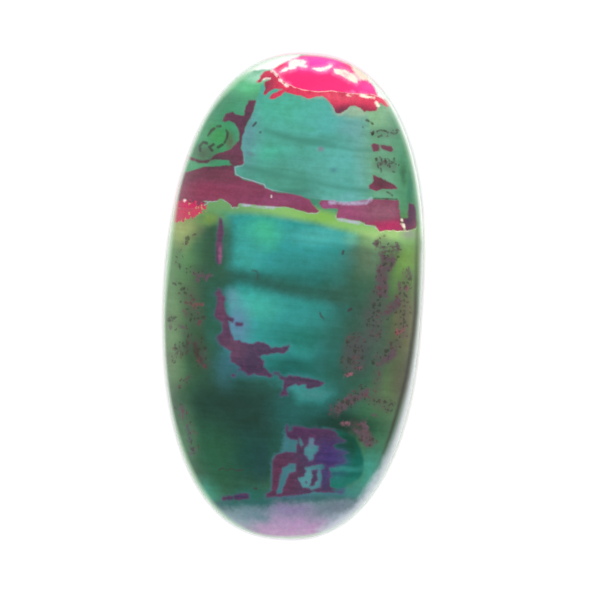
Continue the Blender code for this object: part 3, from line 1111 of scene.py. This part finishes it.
# How other things come and go: the values between which each does, and what it is at both,
# where that isn't 0 and 1
RAMPS = {
    # Down the picture
    "window lip begins": (150, 172),
    "shine ends": (250, 215),
    "edge line darkens": (215, 320, 0.35, 0.85),
    "pale edge begins": (222, 262, 0, 0.95),
    "edge is low": (420, 490),
    "end turns grey": (503, 517),
    "end is blotched": (508, 522, 0, 0.7),
    "end turns pink": (518, 536),
    # Across it
    "hot patch is flecked": (178, 204, 0.1, 0.6),
    "hot patch shrinks": (188, 210, 0, 4),
    "pepper thickens": (200, 340, 0.25, 0.45),
    "end dips": (262, 310, 0, 9),
    "window lip thins": (300, 262, 0.1, 0.8),
    "drip fringe begins": (284, 300),
    "veins fray": (322, 338, 0, 4),
    "chalk turns cream": (330, 342, 0, 0.8),
    "veins thin out": (330, 350, 0.95, 0.35),
    "window ends": (380, 358),
    "shine begins": (370, 390),
    "band foot turns cream": (374, 382),
    "lime ends": (424, 404, 0.6, 0.95),
    # With a noise
    "blotches": (-0.5, 1.2),
    "band foot breaks up": (-0.6, 0.6, 0.1, 0.9),
    "hot patch is shaded": (-0.4, 1.6),
    "veins are mottled": (0.1, 1.1, 0, 0.5),
    "flecks break up": (-0.9, 0.5, 0.6, 0.92),
    "grains turn red": (0, 0.4),
    "lips break up": (-0.8, 0.6, 0.35, 0.75),
    "drip fringe breaks up": (-0.6, 1, 0.1, 0.6),
    "seam breaks up": (-0.9, 0.3, 0.2, 0.9),
    "chalk breaks up": (-1.2, 0.2, 0.6, 0.95),
    "polish": (-1, 1, 0.05, 0.1),
    # With the depth in a patch
    "lime is near": (-7, -4),
    "vein halo": (-3.5, 0.5, 0, 0.2),
    "drip fringe": (-4.5, 0.5),
    "drips are near": (-5, -2),
    "chalk halo": (-5, 0.5, 0, 0.5),
    "tip is near": (-1, 1),
    # With the distance from the rim
    "edge whitens": (8, 0.5),
    "shine": (4.2, 0.3),
    # With a speck's own distance, in its spacings, and with its chance
    "speck": (0.42, 0.2),
    "speck shows": (0, 0.1),
}

# How much a pattern lightens and darkens each layer, and how far it turns the ground's hue
SHADES = {
    "ground": 0.1, "end": 0.07, "maroon": 0.13, "hot patch": 0.1, "veins": 0.14,
    "flecks": 0.16, "drips": 0.16, "all": 0.05,
}
HUE_TURN = 0.008
# The node leaves a hue as it is at this value
SAME_HUE = 0.5

HOT_STRENGTH = 0.9
HOT_FLECK_STRENGTH = 0.7
HOT_FLECK_SPACING = 3.2
VEIN_EDGE_STRENGTH = 0.25
GRAIN_STRENGTH = 0.65

# The pink heart of the stone's end: centre x and y, half width and height
END_HEART = (294, 532, 60, 26)

# The painted pale reflection along the right edge, in pixels: where it starts, how much earlier
# that is low down, and where it is full; and how much of its whitening it loses low down
PALE_EDGE_START = -1.0
PALE_EDGE_LOW_REACH = 5.0
PALE_EDGE_FULL = 5.5
LOW_WHITENING_LOSS = 0.6

# How wide the painted glow along the rim is, in pixels, and where it is wider: by how much, then
# the zone's centre x and y, half width and height
GLOW_WIDTH = 3.2
GLOW_FULL = -1.0
GLOW_STRENGTH = 0.8
SHINE_EXTRA_WIDTH = 5.0
WIDER_GLOW = {
    "left of the tip": (5.0, 235, 78, 60, 34),
    "beside the hot patch": (5.0, 160, 240, 24, 60),
    "far end": (5.0, 310, 545, 50, 14),
    "lower left": (3.5, 206, 490, 56, 100),
    "upper left": (1.5, 196, 140, 24, 50),
}

# A noise from 0 to 1 is stretched by this much about its middle
NOISE_STRETCH = 4.0

# Noises: how large their blobs are in pixels, then their detail and roughness
NOISES = {
    "broad": (30.0, 3.0, 0.5),
    "medium": (11.0, 4.0, 0.6),
    "fine": (5.5, 3.0, 0.6),
    "finest": (2.6, 2.0, 0.55),
    "blotches": (14.0, 2.0, 0.7),
}

# How much one noise counts beside another, or in a mix of two
NOISE_SHARES = {"grit": 0.6, "hue": 0.7, "maroon": 0.5, "veins": 2, "drips": 0.6}

# How far noises push things about, in pixels: the clouds across and along the picture, the
# specks, and the places where other things begin
CLOUD_SWAY = (3, 4)
SPECK_SCATTER = 1.5
WANDERS = {"window lip": 8, "end": 3, "end heart": 4, "pale edge": 2}

# The sheets of growth are seen edge on, as faint streaks that fall a little to the right: how
# many there are to a pixel along them and across them, and their noise's detail and roughness
STREAKS_ALONG = 0.014
STREAKS_ACROSS = 0.2
STREAK_FALL = 0.1
STREAK_NOISE = (6.0, 0.6)


class Pattern(Bench):
    """The agate's colour, laid from the ground up. Its layers share their place and noises."""

    def __init__(self, tree):
        super().__init__(tree)
        self.place = self.stored("place", "Vector")
        self.x = self.add("ShaderNodeSeparateXYZ", {}, {0: self.place})
        self.y = self.x.beside(1)
        noises = [self.noise(self.place, *values) for values in NOISES.values()]
        self.broad, self.medium, self.fine, self.finest, self.blotches = noises
        self.grit = (self.fine + self.finest) * NOISE_SHARES["grit"]
        across, along = CLOUD_SWAY
        sway = self.flat(self.broad * across + self.fine, self.broad * along + self.medium)
        self.swayed = self.vector("ADD", self.place, sway)
        scatter = self.flat(self.fine * SPECK_SCATTER, self.finest * SPECK_SCATTER)
        self.scattered = self.vector("ADD", self.place, scatter)
        level = self.y - self.x * STREAK_FALL
        sheets = self.flat(self.x * STREAKS_ALONG, level * STREAKS_ACROSS)
        self.streaks = self.noise(sheets, 1.0, *STREAK_NOISE)
        self.colour = self.clouds(GROUND_COLOUR, GROUND_CLOUDS)

    def flat(self, x, y):
        """A place or a step in the pattern's plane."""
        return self.add("ShaderNodeCombineXYZ", {}, {0: x, 1: y})

    def stored(self, name, output="Fac"):
        """A value that the stone's points carry."""
        return self.add("ShaderNodeAttribute", {"attribute_name": name}, output=output)

    def ramp(self, name, value):
        return self.ease(value, *RAMPS[name])

    def depth(self, name):
        """How deep each point lies in a patch whose outline is ragged."""
        depth = self.stored(name)
        for noise, ragged in zip((self.medium, self.fine, self.finest), EDGES[name]):
            if ragged:
                depth = depth + noise * ragged
        return depth

    def share(self, name, depth=None):
        """A patch's share of each point, from 0 outside its edge to 1 inside it."""
        return self.ease(self.depth(name) if depth is None else depth, *EDGES[name][3:])

    def line(self, name, depth):
        """The share of a line that runs along a patch's edge."""
        middle, half, blur = LINES[name]
        return self.ease(self.math("ABSOLUTE", depth - middle), half + blur, half - blur)

    def zone(self, place, x, y, across, along, softness=USUAL_SOFTNESS):
        """A soft oval zone's share of each point."""
        size = (1 / across, 1 / along, 0)
        middle = (-x / across, -y / along, 0)
        reach = self.vector("LENGTH", self.vector("MULTIPLY_ADD", place, size, middle), output=1)
        return self.ease(reach, 1 + softness / 2, 1 - softness)

    def clouds(self, ground, layers):
        """Soft clouds laid over a colour."""
        for x, y, across, along, code, strength, *softness in layers.values():
            share = self.zone(self.swayed, x, y, across, along, *softness)
            ground = self.blend(share * strength, ground, code)
        return ground

    def shaded(self, layer, colour, pattern):
        """A layer's colour, made lighter and darker by a pattern from -1 to 1."""
        sockets = {"Color": colour, "Value": pattern * SHADES[layer] + 1}
        return self.add("ShaderNodeHueSaturation", {}, sockets)

    def specks(self, spacing, chance):
        """Separate specks, about one spacing apart. A chance from 0 to 1 says how many show."""
        sockets = {"Vector": self.scattered, "Scale": 1 / spacing}
        cell = self.add("ShaderNodeTexVoronoi", {"voronoi_dimensions": "2D"}, sockets)
        draw = self.add("ShaderNodeSeparateColor", {}, {"Color": cell.beside("Color")})
        return self.ramp("speck", cell) * self.ramp("speck shows", chance - draw)

    def lay(self, share, colour):
        """Lay a colour over all that is there."""
        self.colour = self.blend(share, self.colour, colour)

    def lay_window_reflections(self):
        """The windows, the stone's teal lightened by a painted window reflection with a painted
        pale lip, then the lattice's ground and the disc.
        """
        depth = self.depth("window")
        # A pale painted lip along the lower edge of the window reflection
        lip = self.line("window lip", depth) * self.ramp("window lip begins", self.y)
        wander = self.medium * WANDERS["window lip"]
        lip = lip * self.ramp("window lip thins", self.x + wander)
        window = self.blend(lip, self.clouds(WINDOW_REFLECTION_COLOUR, WINDOW_REFLECTION_CLOUDS), LILAC_COLOUR)
        self.lay(self.share("window", depth) * self.ramp("window ends", self.x), window)
        self.lay(self.share("low_windows"), self.clouds(LOW_WINDOW_REFLECTION_COLOUR, LOW_WINDOW_REFLECTION_CLOUDS))
        self.lay(self.share("lattice"), self.clouds(LATTICE_COLOUR, LATTICE_CLOUDS))
        self.lay(self.share("disc"), self.clouds(DISC_COLOUR, DISC_CLOUDS))

    def lay_streaks(self):
        """The sheets of growth over the ground and its windows, painted dark bars and shade across
        the window reflection, and the lime seam.
        """
        self.colour = self.shaded("ground", self.colour, self.streaks + self.medium)
        turn = (self.medium + self.broad * NOISE_SHARES["hue"]) * HUE_TURN
        sockets = {"Color": self.colour, "Hue": turn + SAME_HUE}
        self.colour = self.add("ShaderNodeHueSaturation", {}, sockets)
        # Painted dark bars and shade across the window reflection
        self.lay(self.share("dark"), WINDOW_BAR_AND_SHADE_COLOUR)
        lime = self.clouds(LIME_COLOUR, LIME_CLOUDS)
        self.lay(self.share("lime") * self.ramp("lime ends", self.x), lime)

    def lay_end(self):
        """The end away from the tip: teal, then grey, with a blotched pink heart."""
        level = self.y + self.medium * WANDERS["end"] + self.ramp("end dips", self.x)
        end = self.blend(self.ramp("end turns grey", level), END_TEAL, END_GREY)
        end = self.clouds(end, END_CLOUDS)
        heart = self.zone(self.swayed, *END_HEART)
        pink = self.ramp("end turns pink", self.y + self.medium * WANDERS["end heart"])
        end = self.blend(pink * heart, end, END_PINK)
        blotched = self.ramp("blotches", self.blotches) * self.ramp("end is blotched", self.y)
        end = self.blend(blotched * heart, end, END_BLOTCH)
        self.lay(self.share("end"), self.shaded("end", end, self.blotches + self.fine))

    def lay_bands(self):
        """The maroon band over its pale foot, and the hot patch at its left end."""
        depth = self.depth("maroon")
        foot = self.line("band foot", depth) * self.ramp("lime is near", self.stored("lime"))
        foot = foot * self.ramp("band foot breaks up", self.medium + self.fine)
        creaminess = self.ramp("band foot turns cream", self.x)
        self.lay(foot, self.blend(creaminess, LILAC_COLOUR, CREAM_COLOUR))
        maroon = self.clouds(MAROON_COLOUR, MAROON_CLOUDS)
        pattern = self.streaks + self.medium + self.finest * NOISE_SHARES["maroon"]
        self.lay(self.share("maroon", depth), self.shaded("maroon", maroon, pattern))
        hot = self.share("hot", self.depth("hot") - self.ramp("hot patch shrinks", self.x))
        shade = self.ramp("hot patch is shaded", self.streaks + self.fine)
        hot_colour = self.blend(shade, HOT_COLOUR, HOT_SHADE)
        self.lay(hot * HOT_STRENGTH, self.shaded("hot patch", hot_colour, self.finest))
        flecks = self.specks(HOT_FLECK_SPACING, self.ramp("hot patch is flecked", self.x))
        self.lay(flecks * hot * HOT_FLECK_STRENGTH, HOT_FLECK)

    def lay_veins(self):
        """The purple veins, mottled inside, with a redder edge and a faint halo."""
        depth = self.depth("veins") + self.streaks * self.ramp("veins fray", self.x)
        veins = self.clouds(VEIN_COLOUR, VEIN_CLOUDS)
        pattern = self.fine + self.streaks * NOISE_SHARES["veins"]
        veins = self.shaded("veins", veins, pattern)
        veins = self.blend(self.ramp("veins are mottled", self.grit), veins, VEIN_MOTTLE)
        veins = self.blend(self.line("vein edge", depth) * VEIN_EDGE_STRENGTH, veins, VEIN_EDGE)
        self.lay(self.ramp("vein halo", depth), VEIN_HALO)
        self.lay(self.share("veins", depth) * self.ramp("veins thin out", self.x), veins)

    def lay_specks(self):
        """Flecks, pepper in its haze, cracks and lilac lips."""
        flecks = self.shaded("flecks", self.clouds(FLECK_COLOUR, FLECK_CLOUDS), self.grit)
        solid = self.ramp("flecks break up", self.streaks + self.fine)
        self.lay(self.share("flecks") * solid, flecks)
        self.lay(self.share("pepper") * self.ramp("pepper thickens", self.x), PEPPER_HAZE)
        crowding = self.share("pepper", self.stored("pepper"))
        grain = self.blend(self.ramp("grains turn red", self.medium), PEPPER_DARK, PEPPER_RED)
        for spacing, density in PEPPER_GRAINS:
            self.lay(self.specks(spacing, crowding * density) * GRAIN_STRENGTH, grain)
        self.lay(self.share("cracks"), CRACK_COLOUR)
        self.lay(self.share("lilac") * self.ramp("lips break up", self.medium), LILAC_COLOUR)

    def lay_right_edge(self):
        """A painted pale reflection along the right edge, with a thin line of painted shade beside
        it in its upper part.
        """
        pale = self.stored("pale_edge")
        low = self.ramp("edge is low", self.y)
        line = self.line("dark edge line", pale) * (1 - low)
        self.lay(line * self.ramp("edge line darkens", self.y), EDGE_SHADE_LINE_COLOUR)
        edge = self.blend(low, PALE_EDGE_COLOUR, PALE_EDGE_LOW)
        at_rim = self.ramp("edge whitens", self.stored("rim"))
        edge = self.blend(at_rim * (1 - low * LOW_WHITENING_LOSS), edge, PALE_EDGE_RIM)
        start = PALE_EDGE_START - low * PALE_EDGE_LOW_REACH
        wander = self.medium * low * WANDERS["pale edge"]
        share = self.ease(pale + wander, start, PALE_EDGE_FULL)
        self.lay(share * self.ramp("pale edge begins", self.y), edge)

    def lay_tip(self):
        """The pink tip over its red drips, with a pale seam, chalky marks and shoulders painted
        white as light on the thin edge.
        """
        drips = self.stored("drips")
        fringe = self.ramp("drip fringe", drips + self.medium)
        fringe = fringe * self.ramp("drip fringe begins", self.x)
        fringe = fringe * self.ramp("drip fringe breaks up", self.medium + self.broad)
        self.lay(fringe, FRINGE_COLOUR)
        red = self.clouds(RED_COLOUR, RED_CLOUDS)
        pattern = self.grit + self.medium * NOISE_SHARES["drips"]
        self.lay(self.share("drips"), self.shaded("drips", red, pattern))
        tip = self.depth("tip")
        self.lay(self.share("tip", tip), self.clouds(PINK_COLOUR, PINK_CLOUDS))
        self.lay(self.share("shoulder"), CREAM_COLOUR)
        seam = self.line("seam", tip) * self.ramp("drips are near", drips)
        self.lay(seam * self.ramp("seam breaks up", self.medium + self.fine), SEAM_COLOUR)
        chalk = self.depth("chalk")
        self.lay(self.ramp("chalk halo", chalk) * self.ramp("tip is near", tip), CHALK_HALO)
        chalky = self.share("chalk", chalk) * self.ramp("chalk breaks up", self.fine + self.medium)
        creaminess = self.ramp("chalk turns cream", self.x)
        self.lay(chalky, self.blend(creaminess, CHALK_COLOUR, CREAM_COLOUR))
        # Painted light: the shoulders beside the tip turn white
        self.lay(self.share("pale_shoulders"), PALE_SHOULDER)

    def lay_rim(self):
        """A thin pale glow along the rim, painted as a reflection, and a painted shine at the
        upper right.
        """
        rim = self.stored("rim")
        shine = self.ramp("shine ends", self.y) * self.ramp("shine begins", self.x)
        width = shine * SHINE_EXTRA_WIDTH + GLOW_WIDTH
        for extra, *oval in WIDER_GLOW.values():
            width = width + self.zone(self.place, *oval) * extra
        self.lay(self.ease(rim, width, GLOW_FULL) * GLOW_STRENGTH, GLOW_COLOUR)
        self.lay(self.ramp("shine", rim) * shine, GLOW_RIM)
        self.colour = self.shaded("all", self.colour, self.grit)


def agate_material():
    """Dyed agate under a high polish, whose surface ripples a little."""
    material = bpy.data.materials.new("polished_agate")
    material.use_nodes = True
    material.node_tree.nodes.clear()
    agate = Pattern(material.node_tree)
    agate.lay_window_reflections()
    agate.lay_streaks()
    agate.lay_end()
    agate.lay_bands()
    agate.lay_veins()
    agate.lay_specks()
    agate.lay_right_edge()
    agate.lay_tip()
    agate.lay_rim()

    sockets = {"Strength": RIPPLE_STRENGTH, "Distance": RIPPLE_HEIGHT, "Height": agate.broad}
    ripple = agate.add("ShaderNodeBump", {}, sockets)
    sockets = {
        "Base Color": agate.colour,
        "Roughness": agate.ramp("polish", agate.medium),
        "IOR": AGATE_IOR,
        "Specular IOR Level": POLISH_LEVEL,
        "Normal": ripple,
    }
    shader = agate.add("ShaderNodeBsdfPrincipled", {}, sockets)
    agate.add("ShaderNodeOutputMaterial", {}, {"Surface": shader})
    return material


# The view, the floor and the lights

def place_camera():
    """The camera looks straight down on the stone, turned a little so that the tip leans right."""
    lens = bpy.data.cameras.new("view")
    lens.sensor_width = SENSOR_WIDTH
    lens.lens = SENSOR_WIDTH * VIEW_DISTANCE / PICTURE_WIDTH
    lens.clip_start = NEAREST_VIEW
    camera = bpy.data.objects.new("view", lens)
    camera.location = (*VIEW_CENTRE, GIRDLE_HEIGHT + VIEW_DISTANCE)
    camera.rotation_euler = (0, 0, VIEW_TURN)
    bpy.context.collection.objects.link(camera)
    bpy.context.scene.camera = camera


def lay_floor():
    """A plain pale floor, wide enough to fill every view."""
    work = bmesh.new()
    bmesh.ops.create_grid(work, x_segments=1, y_segments=1, size=FLOOR_HALF_WIDTH)
    mesh = bpy.data.meshes.new("floor")
    work.to_mesh(mesh)
    work.free()
    material = bpy.data.materials.new("pale_floor")
    material.use_nodes = True
    shader = material.node_tree.nodes["Principled BSDF"]
    shader.inputs["Base Color"].default_value = (*[FLOOR_PALENESS] * 3, 1.0)
    shader.inputs["Roughness"].default_value = 1.0
    shader.inputs["Specular IOR Level"].default_value = 0.0
    mesh.materials.append(material)
    floor = bpy.data.objects.new("floor", mesh)
    bpy.context.collection.objects.link(floor)


def hang_lamp():
    """A soft square lamp straight above. It isn't reflected, which leaves the polish clear."""
    lamp = bpy.data.lights.new("overhead", "AREA")
    lamp.size = LAMP_SIZE
    lamp.energy = LAMP_POWER
    light = bpy.data.objects.new("overhead", lamp)
    light.location = (0, 0, LAMP_HEIGHT)
    light.visible_camera = False
    light.visible_glossy = False
    bpy.context.collection.objects.link(light)


def light_studio():
    """A white room, dimmer overhead than at the horizon, with one soft lamp above the stone."""
    world = bpy.data.worlds.new("studio")
    world.use_nodes = True
    world.node_tree.nodes.clear()
    bench = Bench(world.node_tree)
    direction = bench.add("ShaderNodeTexCoord")
    level = bench.add("ShaderNodeSeparateXYZ", {}, {0: direction}, output=2)
    level = bench.math("MAXIMUM", level, 0.0)
    strength = bench.ease(level, 0.0, SKY_BLEND, HORIZON_STRENGTH, SKY_STRENGTH)
    strength = bench.math("MAXIMUM", strength, SKY_STRENGTH)
    sockets = {"Color": (1.0, 1.0, 1.0, 1.0), "Strength": strength}
    sky = bench.add("ShaderNodeBackground", {}, sockets)
    bench.add("ShaderNodeOutputWorld", {}, {"Surface": sky})
    bpy.context.scene.world = world
    bpy.context.scene.view_settings.view_transform = "Standard"
    hang_lamp()


place_camera()
lay_floor()
light_studio()
stone = cut_cabochon(agate_material())
mark_pattern(stone)
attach(stone, "root")
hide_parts("cabochon")
